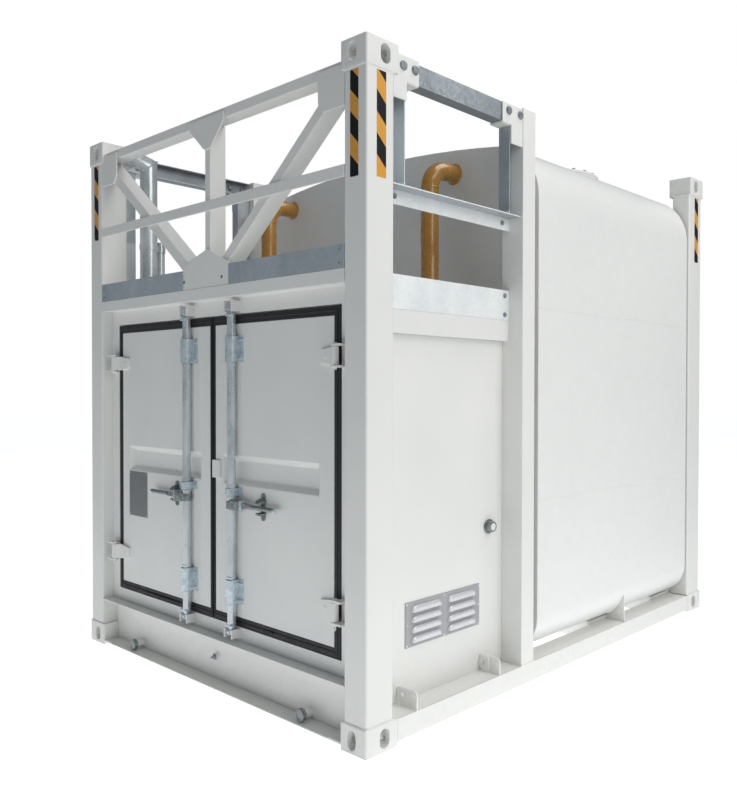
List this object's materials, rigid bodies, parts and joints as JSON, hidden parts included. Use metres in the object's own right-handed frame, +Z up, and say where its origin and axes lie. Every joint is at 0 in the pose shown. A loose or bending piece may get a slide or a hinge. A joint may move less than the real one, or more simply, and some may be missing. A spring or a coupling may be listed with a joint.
{
  "type": "containerised fuel storage tank",
  "caption": "Bunded fuel storage tank in a corner-casting frame, with a pump compartment behind a double door, a guarded deck, tank pipes and a bolted manhole.",
  "frame": {"origin": "middle of the footprint, on the plane that the bottom castings stand on", "axes": "+Z up, -Y towards the double door, +Y towards the tank's rear end, +X towards the side with the mid rail"},
  "size_m": [2.438, 2.991, 2.896],
  "materials": {
    "frame_paint": "semi-gloss off-white paint",
    "tank_paint": "semi-gloss white paint on welded plate",
    "grey_paint": "satin grey paint",
    "galvanised_steel": "dull mottled zinc",
    "zinc_steel": "bright zinc",
    "yellow_paint": "semi-gloss mustard paint",
    "rubber": "matt black"
  },
  "bodies": {
    "frame": {"casting_front_left_bottom": "frame_paint", "casting_front_left_top": "frame_paint", "casting_front_right_bottom": "frame_paint", "casting_front_right_top": "frame_paint", "casting_rear_left_bottom": "frame_paint", "casting_rear_left_top": "frame_paint", "casting_rear_right_bottom": "frame_paint", "casting_rear_right_top": "frame_paint", "front_post_left": "frame_paint", "front_post_right": "frame_paint", "middle_post_left": "frame_paint", "middle_post_right": "frame_paint", "base_rail_left": "frame_paint", "base_rail_right": "frame_paint", "rear_end_frame": "frame_paint", "front_sill": "frame_paint", "middle_saddle": "frame_paint", "rear_saddle": "frame_paint", "door_frame": "frame_paint", "deck": "frame_paint", "compartment_floor": "frame_paint", "front_top_beam": "frame_paint", "front_truss": "frame_paint", "front_mid_rail": "frame_paint", "front_toe_board_left": "galvanised_steel", "front_toe_board_right": "galvanised_steel", "side_wall_left": "frame_paint", "side_wall_right": "frame_paint", "louvre_plate_left": "grey_paint", "louvre_plate_right": "grey_paint", "side_toe_board_left": "galvanised_steel", "side_toe_board_right": "galvanised_steel", "guard_rail_left": "galvanised_steel", "guard_rail_right": "galvanised_steel", "tank_pipe_left": "yellow_paint", "tank_pipe_right": "yellow_paint", "vent_risers": "galvanised_steel", "tank_shell": "tank_paint", "tank_front_end": "tank_paint", "tank_rear_end": "tank_paint", "manhole_cover": "tank_paint"},
    "left_door": {"door_left": "frame_paint", "door_seal_left": "rubber"},
    "right_door": {"door_right": "frame_paint", "door_seal_right": "rubber"},
    "left_lock_rod": {"lock_rod_left": "zinc_steel"},
    "right_lock_rod": {"lock_rod_right": "zinc_steel"}
  },
  "joints": [
    {"name": "left_door_hinge", "type": "hinge", "parent": "frame", "child": "left_door", "pos_m": [-0.985, -1.462, 1.085], "axis": [0, 0, -1], "range_deg": [0, 150]},
    {"name": "right_door_hinge", "type": "hinge", "parent": "frame", "child": "right_door", "pos_m": [0.985, -1.462, 1.085], "axis": [0, 0, 1], "range_deg": [0, 150]},
    {"name": "left_lock_rod_turn", "type": "hinge", "parent": "left_door", "child": "left_lock_rod", "pos_m": [-0.205, -1.458, 1.0975], "axis": [0, 0, 1], "range_deg": [0, 100]},
    {"name": "right_lock_rod_turn", "type": "hinge", "parent": "right_door", "child": "right_lock_rod", "pos_m": [0.205, -1.458, 1.0975], "axis": [0, 0, -1], "range_deg": [0, 100]}
  ]
}
